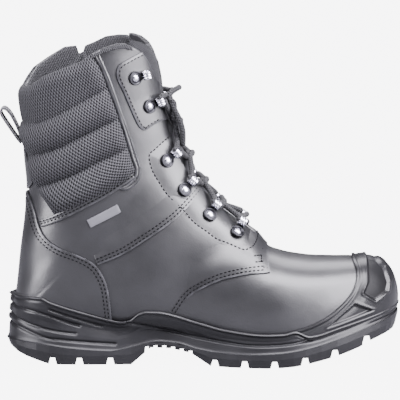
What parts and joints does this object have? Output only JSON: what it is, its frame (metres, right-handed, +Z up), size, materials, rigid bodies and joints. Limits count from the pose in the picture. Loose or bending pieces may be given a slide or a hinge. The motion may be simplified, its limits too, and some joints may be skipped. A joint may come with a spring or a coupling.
{
  "type": "high-leg safety boot",
  "caption": "Right-foot black leather high-leg safety boot with padded mesh cuff, lace hooks and loops, toe cap and lugged rubber sole.",
  "frame": {"origin": "on the floor, in the middle of the flat face of the second heel lug", "axes": "+X along the sole to the toe, +Y to the inner (medial) side, +Z up"},
  "size_m": [0.3124, 0.1123, 0.2528],
  "materials": {
    "sole_rubber": "satin moulded black rubber",
    "cap_rubber": "smooth semi-gloss black rubber",
    "smooth_leather": "smooth black leather with a soft gloss",
    "cuff_mesh": "coarse woven grey-black mesh over foam",
    "dark_textile": "matt black textile",
    "insole_foam": "matt dark textile over foam",
    "label_film": "matt light grey, bare",
    "lace_cord": "round braided black cord with grey flecks",
    "bright_metal": "polished bright metal"
  },
  "bodies": {
    "root": {"outsole": "sole_rubber", "midsole": "sole_rubber", "toe_cap": "cap_rubber", "upper": "smooth_leather", "heel_counter": "smooth_leather", "backstay": "smooth_leather", "cuff_piping_lateral": "smooth_leather", "cuff_piping_medial": "smooth_leather", "hook_patch_lateral": "smooth_leather", "hook_patch_medial": "smooth_leather", "eyestay_lateral": "smooth_leather", "eyestay_medial": "smooth_leather", "padded_cuff": "cuff_mesh", "padded_cuff_front": "cuff_mesh", "tongue": "dark_textile", "pull_loop": "dark_textile", "zip_strip": "dark_textile", "insole": "insole_foam", "ankle_label": "label_film", "lace_crossings": "lace_cord", "lace_bow": "lace_cord", "lace_end": "lace_cord", "lace_hook_lateral_1": "bright_metal", "lace_hook_lateral_2": "bright_metal", "lace_loop_lateral_3": "bright_metal", "lace_loop_lateral_4": "bright_metal", "lace_loop_lateral_5": "bright_metal", "lace_loop_lateral_6": "bright_metal", "lace_hook_medial_1": "bright_metal", "lace_hook_medial_2": "bright_metal", "lace_loop_medial_3": "bright_metal", "lace_loop_medial_4": "bright_metal", "lace_loop_medial_5": "bright_metal", "lace_loop_medial_6": "bright_metal"}
  },
  "joints": []
}
